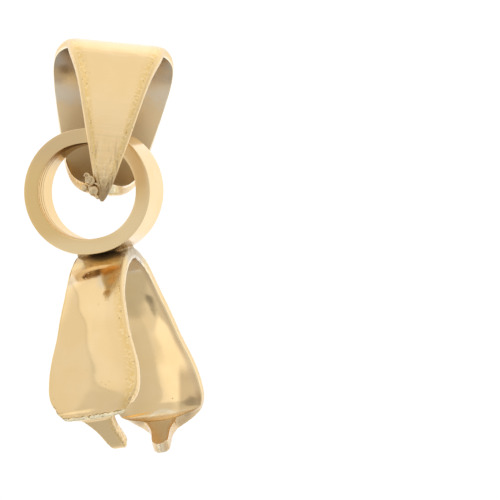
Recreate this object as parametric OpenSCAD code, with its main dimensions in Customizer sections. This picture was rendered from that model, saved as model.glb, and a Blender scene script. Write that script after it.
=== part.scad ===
/* [Strip loop] */
// Height of the loop's middle line, from its top to the tip of the front leg
loop_h = 11.25; // [9:0.1:16]
// Depth of the loop's middle line, front to back
loop_depth = 7.3; // [5.5:0.1:11]
// Widest part of the strip, at the top of the loop
strip_w = 6.7; // [5:0.1:9]
// Thickness of the strip
strip_t = 0.62; // [0.4:0.02:0.9]
// Rounding of the strip's long edges
strip_edge = 0.2; // [0.08:0.01:0.24]
// Radius of the largest weld bead at the foot of the loop
bead_r = 0.32; // [0.28:0.02:0.44]

/* [Ring] */
// Outer height of the ring
ring_h = 7; // [6:0.1:9]
// How much wider than high the ring is
ring_oval = 0.35; // [0.1:0.05:0.8]
// Thickness of the ring's wall
ring_wall = 0.82; // [0.5:0.02:1]
// Length of the ring along its axis
ring_l = 2.55; // [1.6:0.05:3]
// Rounding of the ring's edges
ring_edge = 0.12; // [0.05:0.01:0.2]

/* [Pinch] */
// Height of the front leaf, from the arch to its foot
front_leaf_h = 8.15; // [7:0.1:12]
// Height of the back leaf, from the arch to its foot
back_leaf_h = 8.75; // [7:0.1:12]
// Reach of each leaf from the middle of the arch to its foot
leaf_reach = 6.3; // [5:0.1:9]
// Widest part of a leaf
leaf_w = 5.2; // [4:0.1:7]
// Rise of the leaf's domed middle over its rims
leaf_dome = 0.5; // [0.2:0.05:0.8]
// Thickness of the stamped sheet
sheet_t = 0.66; // [0.5:0.02:0.8]
// How far the middle of the arch lies behind the ring's middle
arch_setback = 0.85; // [0:0.05:1.2]
// How deep the arch is welded into the ring
weld_sink = 0.2; // [0.1:0.05:0.3]

/* [Prongs] */
// Length of each prong from the foot of its leaf
prong_l = 3.1; // [2:0.1:4]
// Width of a prong past its root
prong_w = 1; // [0.8:0.05:1.4]
// Width of a prong at its root
prong_root_w = 1.8; // [1.5:0.1:2.4]
// Slope of the front prong below the horizontal
front_prong_slope = 30; // [10:1:40]
// Slope of the back prong below the horizontal
back_prong_slope = 24; // [10:1:40]
// Skew of the back prong to the right
back_prong_skew = 9; // [0:1:15]

/* [How it hangs] */
// Lean of the loop's top to the back
loop_lean = 42; // [35:1:48]
// Roll of the loop, its right end down
loop_roll = 5.5; // [0:0.5:10]
// Turn of the loop about the vertical, away from the ring's axis
loop_turn = 18.5; // [10:0.5:22]
// Sideways lean of the ring and pinch, their foot to the right
drop_lean = 8.4; // [0:0.1:12]
// Angle round the ring's hole, from its top to the left, at which the strip bears
bear_angle = 46; // [40:1:50]
// Room between the strip and the ring where the ring hangs
hang_gap = 0.04; // [0.02:0.01:0.2]

/* [Hidden] */
gold = [0.9, 0.74, 0.46];
pale_gold = [0.93, 0.79, 0.54];

// Rows of the strip, from the end of the back leg over the top to the front tip:
// [back, as a share of loop_depth, up, as a share of loop_h, width, as a share of strip_w]
LOOP_ROWS = [
    [-0.155, -0.93, 0.15], [-0.09, -0.897, 0.235], [-0.01, -0.852, 0.30], [0.08, -0.795, 0.36],
    [0.265, -0.663, 0.475], [0.40, -0.507, 0.61], [0.445, -0.334, 0.72], [0.38, -0.162, 0.845],
    [0.195, -0.035, 0.965], [-0.07, -0.003, 0.98], [-0.315, -0.079, 0.83], [-0.49, -0.215, 0.77],
    [-0.55, -0.385, 0.635], [-0.51, -0.562, 0.495], [-0.405, -0.724, 0.36], [-0.27, -0.876, 0.21],
    [-0.165, -1, 0.08]
];
// Sections made between one row and the next
LOOP_STEPS = 4;
// Rows, counted from the back leg's end, at which the ring bears and at which a chain bears
BEAR_ROW = 4.95;
CHAIN_ROW = 10.3;
// Last row of the back leg, and the step in rows at which its edge is followed
BACK_LAST = 6;
BACK_STEP = 0.25;
// Distance in rows between the two points that give the strip's direction
LOOK_AHEAD = 0.02;
// Largest rounding of an edge, as a share of the strip's thickness or of half its width
MOST_ROUND = 0.4;

// Weld beads round the point where the back leg meets the front one, as shares of bead_r:
// [right, back, up, radius]
BEAD_ROWS = [
    [0, -0.45, -0.3, 1.05], [-1.65, 0.4, 0.2, 0.95], [-2.3, 0.7, 1.6, 0.95], [-2.5, 1.6, 1.1, 0.6],
    [-0.75, -0.05, -1.2, 0.5]
];

// Rows of a leaf, from the middle of the arch to the foot:
// [reach, as a share of leaf_reach, fall, as a share of the leaf's height,
//  width, as a share of leaf_w, dome, as a share of leaf_dome]
LEAF_ROWS = [
    [0, 0, 0.60, 0.5], [0.16, 0.03, 0.61, 0.5], [0.30, 0.085, 0.62, 0.55], [0.415, 0.155, 0.63, 0.65],
    [0.515, 0.235, 0.65, 0.75], [0.595, 0.325, 0.70, 0.85], [0.665, 0.42, 0.75, 0.95], [0.72, 0.52, 0.81, 1],
    [0.775, 0.62, 0.89, 1], [0.825, 0.72, 0.965, 1], [0.875, 0.82, 1, 0.95], [0.93, 0.91, 1, 0.85],
    [1, 1, 0.93, 0.6]
];
// Sections made between one row and the next
LEAF_STEPS = 2;
// Rows round the bend at the foot: [share of the bend, width and dome, as in LEAF_ROWS]
BEND_ROWS = [[0.33, 0.86, 0.45], [0.67, 0.74, 0.25], [1, 0.56, 0.1]];
// Inner radius of the bend, as a share of the sheet's thickness
BEND_INSIDE = 0.2;
// Rows of a prong: [share of its length, share of the way from prong_root_w to prong_w, share of sheet_t]
PRONG_ROWS = [[0.12, 0, 1], [0.35, 0.7, 1], [0.6, 1, 1], [0.92, 1, 0.95], [1, 1.3, 0.7]];
// Points across one face of the sheet
SHEET_POINTS = 7;

function last(list) = list[len(list) - 1];

// Curve through the rows, at row number u
function curve_at(rows, u) =
    let (
        i = min(floor(u), len(rows) - 2),
        t = u - i,
        b = rows[i],
        c = rows[i + 1],
        a = i > 0 ? rows[i - 1] : 2 * b - c,
        d = i < len(rows) - 2 ? rows[i + 2] : 2 * c - b
    )
    b + t * (c - a) / 2 + t * t * (2 * a - 5 * b + 4 * c - d) / 2 + t * t * t * (3 * b - a - 3 * c + d) / 2;
function curve(rows, steps) = [for (i = [0 : (len(rows) - 1) * steps]) curve_at(rows, i / steps)];

// Unit normal, in the side plane, on the left of the travel from a to b
function left_of(a, b) = [a.y - b.y, b.x - a.x] / norm([b.x - a.x, b.y - a.y]);
// The same for a path of [y, z, ...] rows at row i
function path_normal(path, i) = left_of(path[max(i - 1, 0)], path[min(i + 1, len(path) - 1)]);

// Solid through sections that all hold the same even number of points, the second half facing the first
module skin(sections) {
    n = len(sections[0]);
    count = len(sections);
    end = (count - 1) * n;
    polyhedron(
        points = [for (section = sections) each section],
        faces = concat(
            [for (j = [0 : n / 2 - 2]) each [
                [n - 1 - j, j + 1, j],
                [n - 1 - j, n - 2 - j, j + 1],
                [end + j, end + j + 1, end + n - 1 - j],
                [end + j + 1, end + n - 2 - j, end + n - 1 - j]
            ]],
            [for (i = [0 : count - 2], j = [0 : n - 1]) each [
                [i * n + j, i * n + (j + 1) % n, (i + 1) * n + (j + 1) % n],
                [i * n + j, (i + 1) * n + (j + 1) % n, (i + 1) * n + j]
            ]]
        )
    );
}

// Turns of a point about the three axes
function about_x(p, a) = [p.x, p.y * cos(a) - p.z * sin(a), p.y * sin(a) + p.z * cos(a)];
function about_y(p, a) = [p.x * cos(a) + p.z * sin(a), p.y, p.z * cos(a) - p.x * sin(a)];
function about_z(p, a) = [p.x * cos(a) - p.y * sin(a), p.x * sin(a) + p.y * cos(a), p.z];
function as_hung(p) = about_z(about_y(about_x(p, -loop_lean), loop_roll), loop_turn);

// Strip's middle line as [back, up, width] in millimetres
LOOP_LINE = [for (row = LOOP_ROWS) [row.x * loop_depth, row.y * loop_h, row.z * strip_w]];
// Point on the strip's inner face, across share of its half width, at row number u
function strip_inside(u, across) =
    let (
        here = curve_at(LOOP_LINE, u),
        inward = left_of(here, curve_at(LOOP_LINE, u + LOOK_AHEAD)) * strip_t / 2
    )
    [across * here.z / 2, here.x + inward.x, here.y + inward.y];

// Where the chain bears is the origin
chain_seat = as_hung(strip_inside(CHAIN_ROW, 0));
// The back edge of the ring's hole bears on the left edge of the back leg, where that leg passes it
ring_back_y = (as_hung(strip_inside(BEAR_ROW, 0)) - chain_seat).y;
left_edge = [for (u = [0 : BACK_STEP : BACK_LAST]) as_hung(strip_inside(u, -1)) - chain_seat];
bear_x = lookup(ring_back_y, [for (p = left_edge) [p.y, p.x]]);
bear_z = lookup(ring_back_y, [for (p = left_edge) [p.y, p.z]]);
hole_r = ring_h / 2 - ring_wall;
bear_reach = hole_r - hang_gap;
ring_at = [
    bear_x + ring_oval / 2 + bear_reach * sin(bear_angle),
    ring_back_y - ring_l / 2,
    bear_z - bear_reach * cos(bear_angle)
];

module strip() {
    path = curve(LOOP_LINE, LOOP_STEPS);
    edge = min(strip_edge, MOST_ROUND * strip_t);
    skin([for (i = [0 : len(path) - 1])
        let (
            n = path_normal(path, i),
            half = path[i].z / 2,
            side_edge = min(edge, MOST_ROUND * 2 * half)
        )
        [for (corner = [[1, 1, 0], [-1, 1, 90], [-1, -1, 180], [1, -1, 270]], a = [0, 45, 90])
            let (
                across = corner.x * (half - side_edge) + side_edge * cos(corner.z + a),
                out = corner.y * (strip_t / 2 - edge) + edge * sin(corner.z + a)
            )
            [across, path[i].x + n.x * out, path[i].y + n.y * out]
        ]
    ]);
}

module weld_beads() {
    foot = LOOP_LINE[0];
    for (row = BEAD_ROWS)
        translate([row[0] * bead_r, foot.x + row[1] * bead_r, foot.y + row[2] * bead_r])
            sphere(r = row[3] * bead_r, $fn = 24);
}

module strip_loop() color(pale_gold)
    translate(-chain_seat) rotate([0, 0, loop_turn]) rotate([0, loop_roll, 0]) rotate([-loop_lean, 0, 0]) {
        strip();
        weld_beads();
    }

module ring_section() {
    half_l = ring_l / 2 - ring_edge;
    inside = hole_r + ring_edge;
    outside = ring_h / 2 - ring_edge;
    translate([hole_r, -half_l]) square([ring_wall, 2 * half_l]);
    translate([inside, -ring_l / 2]) square([outside - inside, ring_l]);
    for (r = [inside, outside], y = [-half_l, half_l]) translate([r, y]) circle(r = ring_edge, $fn = 32);
}

// Two half circles with short straight stretches between them, on an axis along Y
module ring() rotate([90, 0, 0]) for (half = [0, 180]) rotate([0, 0, half]) {
    translate([ring_oval / 2, 0, 0]) rotate([0, 0, -90]) rotate_extrude(angle = 180, $fn = 96) ring_section();
    rotate([90, 0, 90]) linear_extrude(height = ring_oval, center = true) ring_section();
}

// One leaf with its prong, as rows of [y, z, width, dome, thickness, normal's y, normal's z, x].
// side is -1 for the front leaf and 1 for the back one.
function leaf_path(side, leaf_h, slope, skew) =
    let (
        rows = [for (row = curve(LEAF_ROWS, LEAF_STEPS))
            [side * row[0] * leaf_reach, -row[1] * leaf_h, row[2] * leaf_w, row[3] * leaf_dome, sheet_t]],
        normals = [for (i = [0 : len(rows) - 1]) i == 0 ? [0, 1] : side * path_normal(rows, i)],
        foot = last(rows),
        start = atan2(last(normals).y, side * last(normals).x),
        finish = -90 + slope,
        inside = BEND_INSIDE * sheet_t,
        centre = [foot.x, foot.y] - last(normals) * (sheet_t / 2 + inside),
        bend = [for (row = BEND_ROWS)
            let (a = start + (finish - start) * row.x, n = [side * cos(a), sin(a)])
            concat(
                centre + n * (sheet_t / 2 + inside),
                [row.y * leaf_w, row.z * leaf_dome, sheet_t],
                n,
                0
            )],
        root = last(bend),
        along = [side * sin(finish), -cos(finish)],
        prong = [for (row = PRONG_ROWS) concat(
            [root[0], root[1]] + along * row.x * prong_l,
            [prong_root_w + (prong_w - prong_root_w) * row.y, 0, row.z * sheet_t],
            [root[5], root[6], row.x * prong_l * tan(skew)]
        )]
    )
    concat([for (i = [0 : len(rows) - 1]) concat(rows[i], normals[i], 0)], bend, prong);

// Section of the domed sheet at one row of a leaf path
function sheet_section(row) =
    let (
        face = [for (i = [0 : SHEET_POINTS - 1])
            let (q = 2 * i / (SHEET_POINTS - 1) - 1) [q * row[2] / 2, row[3] * (1 - q * q)]],
        outer = [for (p = face) [p.x, p.y + row[4] / 2]],
        inner = [for (i = [SHEET_POINTS - 1 : -1 : 0]) [face[i].x, face[i].y - row[4] / 2]]
    )
    [for (p = concat(outer, inner)) [p.x + row[7], row[0] + row[5] * p.y, row[1] + row[6] * p.y]];

module pinch() {
    front = leaf_path(-1, front_leaf_h, front_prong_slope, 0);
    back = leaf_path(1, back_leaf_h, back_prong_slope, back_prong_skew);
    path = concat([for (i = [len(back) - 1 : -1 : 1]) back[i]], front);
    skin([for (row = path) sheet_section(row)]);
}

module ring_and_pinch() color(gold) {
    arch_z = -ring_h / 2 - sheet_t / 2 - LEAF_ROWS[0][3] * leaf_dome + weld_sink;
    translate(ring_at) rotate([0, -drop_lean, 0]) {
        ring();
        translate([0, arch_setback, arch_z]) pinch();
    }
}

strip_loop();
ring_and_pinch();
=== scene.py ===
"""Bail finding: a tapered strip loop carrying a turned ring that is welded to a two-leaf pinch."""

import math

import bmesh
import bpy
import numpy as np
from mathutils import Matrix, Vector


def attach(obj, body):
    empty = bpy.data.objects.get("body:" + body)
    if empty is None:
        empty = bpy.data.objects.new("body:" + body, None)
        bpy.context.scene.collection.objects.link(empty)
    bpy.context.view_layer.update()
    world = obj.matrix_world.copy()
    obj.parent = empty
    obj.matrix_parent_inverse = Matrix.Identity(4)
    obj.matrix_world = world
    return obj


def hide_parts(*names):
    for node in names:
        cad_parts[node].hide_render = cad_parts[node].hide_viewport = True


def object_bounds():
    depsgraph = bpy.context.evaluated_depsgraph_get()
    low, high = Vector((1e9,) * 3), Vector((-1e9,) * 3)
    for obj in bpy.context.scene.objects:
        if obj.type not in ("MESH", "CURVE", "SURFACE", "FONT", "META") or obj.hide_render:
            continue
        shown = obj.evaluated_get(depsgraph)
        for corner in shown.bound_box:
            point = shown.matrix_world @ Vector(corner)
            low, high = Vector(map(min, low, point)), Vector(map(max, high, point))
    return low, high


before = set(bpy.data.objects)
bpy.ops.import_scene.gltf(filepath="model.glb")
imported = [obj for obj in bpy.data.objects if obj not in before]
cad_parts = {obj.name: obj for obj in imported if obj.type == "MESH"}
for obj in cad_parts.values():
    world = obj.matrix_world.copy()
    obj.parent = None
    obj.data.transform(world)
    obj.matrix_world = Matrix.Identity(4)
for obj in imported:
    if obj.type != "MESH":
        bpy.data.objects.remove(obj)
CAD_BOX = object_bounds()

bl_info = {
    "name": "Bail finding",
    "version": (1, 0, 0),
    "blender": (4, 5, 0),
    "location": "3D View > Sidebar > Bail",
    "description": "Builds the gold-tone bail, its ring and pinch, and a plain studio round it",
    "category": "Object",
}

MM = 0.001

# Loop strip: [back, up, width], as shares of the loop's depth, its height and the strip's width
LOOP_ROWS = [
    [-0.155, -0.93, 0.15], [-0.09, -0.897, 0.235], [-0.01, -0.852, 0.30], [0.08, -0.795, 0.36],
    [0.265, -0.663, 0.475], [0.40, -0.507, 0.61], [0.445, -0.334, 0.72], [0.38, -0.162, 0.845],
    [0.195, -0.035, 0.965], [-0.07, -0.003, 0.98], [-0.315, -0.079, 0.83], [-0.49, -0.215, 0.77],
    [-0.55, -0.385, 0.635], [-0.51, -0.562, 0.495], [-0.405, -0.724, 0.36], [-0.27, -0.876, 0.21],
    [-0.165, -1, 0.08],
]
# The front leg's tip as dressed, in place of the last row: it curls under, as its weld pulled it
TIP_ROWS = [[-0.205, -0.945, 0.13], [-0.14, -1.005, 0.04]]
# Where the chain bears in the loop's own upright frame, and the ring's middle in the part's frame, both in
# millimetres
CHAIN_SEAT = Vector((0.966941, -2.71688, 0.570102))
RING_MIDDLE = Vector((-1.09706, -0.518796, -7.68406))

# Weld beads from the tip of the strip's front leg, in millimetres: plain lumps [right, back, up, radius],
# then curls [middle, turn's radius, from and to in degrees, depth, wire's radius]
LUMPS = [
    [-0.45, -0.05, 0.58, 0.3], [-0.24, 0.05, 0.25, 0.14], [-0.94, 0.2, 0.72, 0.2], [-0.72, 0.25, 0.7, 0.18],
    [-0.69, 0.15, 1.14, 0.24], [-0.6, 0.35, 0.85, 0.26], [-0.86, 0.22, 1.4, 0.12], [-0.35, 0.15, 0.36, 0.15],
]
CURLS = [
    [(-0.67, 0, 1.14), 0.2, -60, 200, 0.2, 0.1], [(-0.84, 0.08, 1.4), 0.12, -90, 170, 0.12, 0.08],
    [(-0.45, -0.05, 0.62), 0.36, 10, 120, 0.1, 0.07],
]
# A dark spot inside the top of the loop, in the part's frame
DARK_SPOT = Vector((-3.6, 1.95, -0.85))
# Tool marks inside the ring: [place as a share of half its length, half width likewise, depth in millimetres]
TOOL_MARKS = [[-0.88, 0.05, -0.03], [-0.62, 0.06, -0.035], [-0.3, 0.05, -0.03]]
# Seam of weld under the ring, in millimetres: its middle in the part's frame, its half width, and how far its
# front and back end lie behind the ring's middle
SEAM_MIDDLE = Vector((-0.59, 0.33, -11.15))
SEAM_REACH = 1.3
SEAM_FRONT = 0.15
SEAM_BACK = 1.15

# Leaf: [reach, fall, width, dome, dome of the dressed sheet], as shares of the leaf's reach, height, width
# and dome. The dressed sheet is flatter across the arch and at the foot, and its crown stays in place.
LEAF_ROWS = [
    [0, 0, 0.60, 0.5, 0.1], [0.16, 0.03, 0.61, 0.5, 0.12], [0.30, 0.085, 0.62, 0.55, 0.28],
    [0.415, 0.155, 0.63, 0.65, 0.5], [0.515, 0.235, 0.65, 0.75, 0.7], [0.595, 0.325, 0.70, 0.85, 0.85],
    [0.665, 0.42, 0.75, 0.95, 0.95], [0.72, 0.52, 0.81, 1, 1], [0.775, 0.62, 0.89, 1, 1],
    [0.825, 0.72, 0.965, 1, 1], [0.873, 0.82, 1, 0.95, 0.95], [0.92, 0.91, 0.985, 0.85, 0.8],
    [0.945, 0.965, 0.92, 0.7, 0.6], [0.955, 0.995, 0.85, 0.6, 0.45],
]
# Bend at a leaf's foot: [share of the bend, width and dome, as above, crest's share of its height]
FRONT_BEND_ROWS = [
    [0, 0.85, 0.45, 0], [0.25, 0.83, 0.35, 0], [0.5, 0.76, 0.28, 0.25], [0.66, 0.69, 0.22, 1],
    [0.8, 0.61, 0.16, 0.3], [0.92, 0.49, 0.12, 0], [1, 0.38, 0.1, 0],
]
BACK_BEND_ROWS = [
    [0, 0.92, 0.6, 0], [0.25, 0.84, 0.45, 0], [0.5, 0.68, 0.3, 0.2], [0.75, 0.5, 0.2, 0], [1, 0.38, 0.1, 0],
]
# Inside radius of the front and the back bend as a share of the sheet, and the heights of the crest and its
# crumples in millimetres
FRONT_BEND = 0.2
BACK_BEND = 0.6
CREST = 0.2
LIP = 0.16
# Prong: [share of its length, share of the way from its root's width to its own, share of the sheet's
# thickness], then how much longer, steeper and more skewed the dressed prongs are, in millimetres and degrees
PRONG_ROWS = [
    [0, 0, 1], [0.12, 0.25, 1], [0.35, 0.75, 1], [0.6, 0.92, 1], [0.82, 1.04, 0.97], [0.9, 1.2, 0.9],
    [0.955, 1.5, 0.75], [0.985, 1.8, 0.55], [1, 2.15, 0.35],
]
PRONG_EXTRA = 0.42
FRONT_SKEW = 4
FRONT_EXTRA_SLOPE = 3
BACK_EXTRA_SKEW = 3
# How much of the prong's bevel the back prong has, whose end is cut square
BACK_BEVEL = 0.3

# The camera's bearing in degrees, the width it sees and the ring's place in it in millimetres, and its lens
VIEW_AZIMUTH = 17.5
VIEW_WIDTH = 500 / 18.0
RING_LEFT_OF_MIDDLE = 8.68
RING_ABOVE_MIDDLE = 3.26
LENS = 1200

# Floor: its radius in metres and how far it lies under the bail in millimetres
FLOOR_REACH = 0.6
FLOOR_DROP = 12
# Degrees in a radian, for nodes
DEGREES = 180 / math.pi

# Radii of the outer and the inner face's edges in millimetres, and how far the loop's sides roll outward
LOOP_EDGES = (0.26, 0.05)
RING_EDGES = (0.05, 0.04)
PINCH_EDGES = (0.15, 0.08)
LOOP_ROLL = -0.06
# Length in millimetres over which the loop strip's ends round off
LOOP_END = 0.3
# Filed cut edges: how rough they are in millimetres and how many bumps a millimetre has, then how many times
# rougher they grow at the loop's front tip and beside the arch, over how many millimetres
LOOP_FILED = (0.02, 1.6)
RING_FILED = (0.0, 1.0)
PINCH_FILED = (0.03, 1.8)
EXTRA_WILD = 2.5
LOOP_WILD_REACH = 5
ARCH_WILD_REACH = 3.2
# Folds in a millimetre where the sheet is crumpled by its sharp bend
CRUMPLE_GRAIN = 2.6
# Weld metal: voxel and ripple in millimetres, ripples in a millimetre
BEAD_METAL = (0.02, 0.03, 4.0)
SEAM_METAL = (0.03, 0.04, 3.0)

# Plating of the loop and of the pinch: roughness, and depths of waves, fine lines and facets in millimetres
LOOP_PLATING = (0.11, 0.012, 0.014, 0.02)
PINCH_PLATING = (0.09, 0.008, 0.0015, 0.2)
# Marks are [from, to] in millimetres, and a third number says how soft both ends are.
# On the loop: along the strip from its front tip, then height over the chain seat
HEAT_TINT = (1.1, 2.8)
NEAR_TIP = (1.2, 4.2)
# Painted light: the inside paler near the front tip
TIP_INSIDE = (3, 5)
TARNISHED = (-2.2, 0.0)
# A painted highlight: the pale band inside the loop
INSIDE_HIGHLIGHT = (-1.5, -0.2, 0.35)
# On the pinch: along the sheet from the back prong's end
SQUARE_END = (0.02, 0.12)
BACK_PRONG = (3.2, 3.8)
HOOF_START = (3.3, 3.6)
# Painted highlight: paler inside the back leaf's foot, up to here
BACK_FOOT = (4.1, 4.5)
BACK_FOOT_RIM = (4, 6)
# Painted shade: a brown patch inside the back leaf
BROWN_PATCH = (4.4, 6.8, 0.6)
FRONT_BURR = (12, 16)
FRONT_PRONG = (25.6, 26.4)
# Painted highlight in a hoof-shaped arc round the back prong's root: where its middle lies along the sheet,
# its stretch across and along, and its inner and outer edge
HOOF_MIDDLE = 3.75
HOOF_SHAPE = (1.05, 0, 1.25)
HOOF = (0.85, 1.05, 0.1)
# Painted reflections on the pinch under the ring: behind the chain seat, and the last across the sheet
SHOULDER = (-3.0, -1, 0.15)
GLINT = (-1.9, -1.3, 0.12)
STRIPE = (-2.75, -2.3, 0.08)
POINT = (-3.5, -2.3, 0.2)
POINT_ACROSS = (0.4, 1.3, 0.25)
# How far round the seam the plating is burnt off, and dulled, on the pinch and on the ring
BURNT_REACH = 3.0
DULLED_REACH = 2.6
RING_DULLED_REACH = 2.7
# Painted light and shade on the ring: above its middle, then to the right of it
RING_SHADE = (0.8, 2.6)
RING_TOP_INSIDE = (0.8, 2.2)
RING_LOW = (-3.2, -2.2)
RING_BESIDE_LEG = (-1.2, 2.4, 0.7)
RING_SHADE_RIGHT = (-0.6, 0.9)
RING_RIGHT = (0.2, 2.2)
RING_BESIDE_LEG_RIGHT = (1.0, 2.4)

# Light tent: the white that the camera sees, the brightness all round the bail, and what is added behind it
WHITE_BEHIND = 1.05
TENT_BASE = 0.86
TENT_BEHIND = 0.28
# Overhead panel: how far it reaches to the left of straight up as a share of its height, where it ends, what
# it adds everywhere and on its left part, and how much darker the gap at its edge is
TENT_OVERHEAD = 1.2
TENT_OVERHEAD_END = 0.185
TENT_OVERHEAD_LIGHT = 0.09
TENT_LEFT_LIGHT = 0.05
TENT_GAP = 0.17
# Low white card on the left and the shade above it: how much they add and take, their ends in degrees, and
# the heights in degrees of the card's lower and upper edge, with [drop, from, to] of each step down to the
# left
TENT_CARD = 0.29
TENT_CARD_SHADE = 0.3
TENT_CARD_LEFT = (-99, -91)
TENT_CARD_RIGHT = (-36, -30)
TENT_SHADE_ENDS = (-97, -53, 2)
TENT_CARD_FOOT = (-27, [(12, -43, -32), (11, -92, -43)])
TENT_CARD_HEAD = (-24, [(9, -66, -50)])
# Other panels, in degrees round from the camera to the right and up: [from, to, edge's softness] both ways,
# then brightness
TENT_PANELS = [
    [-44, 110, 3, -60, 45, 25, -0.08], [-20, 45, 10, -40, 12, 8, -0.06], [-44, -5, 4, -60, 24, 4, -0.04],
    [50, 112, 8, -57, -16, 6, -0.06], [-150, -93, 4, -60, -30, 5, -0.15], [-200, 200, 1, -100, -60, 4, -0.28],
    [-104, -84, 3.5, -60, -51, 3, -0.45],
]


def size_of(label, about, default, unit="millimetres"):
    return bpy.props.FloatProperty(name=label, description=about + ", in " + unit, default=default)


def angle_of(label, about, default):
    return size_of(label, about, default, "degrees")


class BailSizes(bpy.types.PropertyGroup):
    """Sizes of the bail, in millimetres and degrees."""

    loop_height: size_of("Loop height", "Height of the loop's middle line", 11.25)
    loop_depth: size_of("Loop depth", "Depth of the loop's middle line", 7.3)
    strip_width: size_of("Strip width", "Widest part of the strip", 6.7)
    strip_thickness: size_of("Strip thickness", "Thickness of the strip", 0.62)
    loop_lean: angle_of("Loop lean", "Lean of the loop's top to the back", 42)
    loop_roll: angle_of("Loop roll", "Roll of the loop, its right end down", 5.5)
    loop_turn: angle_of("Loop turn", "Turn of the loop about the vertical", 18.5)
    ring_height: size_of("Ring height", "Outer height of the ring", 7)
    ring_oval: size_of("Ring oval", "How much wider than high the ring is", 0.35)
    ring_wall: size_of("Ring wall", "Thickness of the ring's wall", 0.82)
    ring_length: size_of("Ring length", "Length of the ring along its axis", 2.55)
    front_leaf: size_of("Front leaf", "Height of the front leaf", 8.15)
    back_leaf: size_of("Back leaf", "Height of the back leaf", 8.75)
    leaf_reach: size_of("Leaf reach", "Reach of a leaf from the arch's middle", 6.3)
    leaf_width: size_of("Leaf width", "Widest part of a leaf", 5.2)
    leaf_dome: size_of("Leaf dome", "Rise of a leaf's middle over its rims", 0.5)
    sheet: size_of("Sheet", "Thickness of the stamped sheet", 0.66)
    arch_setback: size_of("Arch setback", "How far the arch lies behind the ring's middle", 0.85)
    weld_sink: size_of("Weld sink", "Depth of the arch's weld in the ring", 0.2)
    prong_length: size_of("Prong length", "Length of a prong from the leaf's foot", 3.1)
    prong_width: size_of("Prong width", "Width of a prong past its root", 1)
    prong_root: size_of("Prong root", "Width of a prong at its root", 1.8)
    front_slope: angle_of("Front prong slope", "Slope of the front prong below the horizontal", 30)
    back_slope: angle_of("Back prong slope", "Slope of the back prong below the horizontal", 24)
    back_skew: angle_of("Back prong skew", "Skew of the back prong to the right", 9)
    drop_lean: angle_of("Drop lean", "Sideways lean of the ring and pinch", 8.4)


def colour_of(label, about, default):
    limits = {"default": default, "min": 0, "max": 1}
    return bpy.props.FloatVectorProperty(name=label, description=about, subtype="COLOR", **limits)


class BailLooks(bpy.types.PropertyGroup):
    """Colours of the bail's finishes, and of light and shade painted on them."""

    gold: colour_of("Gold", "Colour of the polished plating", (0.92, 0.67, 0.345))
    deep_gold: colour_of("Deep gold", "Colour of the plating toward rims", (0.86, 0.60, 0.25))
    pale_gold: colour_of("Pale gold", "Colour of worn plating and bright burrs", (0.96, 0.75, 0.45))
    # Dull gold is also painted shade: the ring's face darker at its upper left
    dull_gold_and_shade: colour_of("Dull gold", "Colour of dull plating", (0.74, 0.55, 0.33))
    # Tarnish is also painted over the loop's reflection on the arch, greying it
    tarnish: colour_of("Tarnish", "Colour of tarnished plating", (0.62, 0.56, 0.47))
    # The heat tint is also painted shade: a brown patch inside the back leaf, and the ring's top inside
    tinted: colour_of("Heat tint", "Colour of metal that the weld's heat has tinted", (0.42, 0.29, 0.15))
    # Bright gold is also painted light on the ring's face: lighter toward the right, beside the leg and at
    # the bottom
    bright: colour_of("Bright gold", "Colour of rubbed gold", (0.99, 0.76, 0.43))
    # A painted highlight: the pale band inside the loop
    rubbed: colour_of("Rubbed inside", "Colour of the rubbed band inside the loop", (0.87, 0.79, 0.65))
    satin: colour_of("Satin", "Colour of the cut edges", (0.90, 0.66, 0.33))
    # Burr is also painted light: glints near the loop's tip, paler inside both ends of the strip, inside the
    # back leaf's foot and the hoof round the back prong
    burr: colour_of("Burr", "Colour of bright burrs and rubbed metal", (0.98, 0.84, 0.60))
    # Lip is also a painted highlight: the glint under the ring, glare on the filed edges, and the crumpled
    # lip's pale crest
    lip: colour_of("Lip", "Colour of crumpled and hammered rims", (1.0, 0.89, 0.61))
    # Bare steel is also painted light: paler on the arch's shoulder and on the ring's outer side at the
    # bottom
    bare: colour_of("Bare steel", "Colour where welding has burnt the plating off", (0.82, 0.73, 0.60))
    # Weld is also painted shade and reflection: the beads' hollows and a dark stripe under the ring; it also
    # darkens the ring's rounded edges
    weld: colour_of("Weld", "Colour of the heat-tinted weld", (0.28, 0.19, 0.12))


# Smooth curves


def smooth_rows(rows, steps):
    """Rows on the smooth curve through the given rows, with that many steps between each two."""
    rows = np.array(rows, float)
    last = len(rows) - 1
    system = np.zeros((last + 1, last + 1))
    wanted = np.zeros_like(rows)
    system[0, 0] = system[last, last] = 1
    for i in range(1, last):
        system[i, i - 1:i + 2] = (1, 4, 1)
        wanted[i] = 6 * (rows[i + 1] - 2 * rows[i] + rows[i - 1])
    bend = np.linalg.solve(system, wanted)
    made = []
    for i in range(last):
        for step in range(steps):
            t = step / steps
            s = 1 - t
            made.append(s * rows[i] + t * rows[i + 1] + ((s**3 - s) * bend[i] + (t**3 - t) * bend[i + 1]) / 6)
    made.append(rows[last])
    return np.array(made)


def left_normals(path):
    """Unit normals, in the side plane, on the left of the travel along [back, up] points."""
    step = np.gradient(np.array(path, float), axis=0)
    normal = np.stack([-step[:, 1], step[:, 0]], axis=1)
    return normal / np.linalg.norm(normal, axis=1)[:, None]


def travelled(path):
    """Distance along the path at each of its points."""
    return np.concatenate([[0], np.cumsum(np.linalg.norm(np.diff(path, axis=0), axis=1))])


# Meshes by geometry nodes


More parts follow.
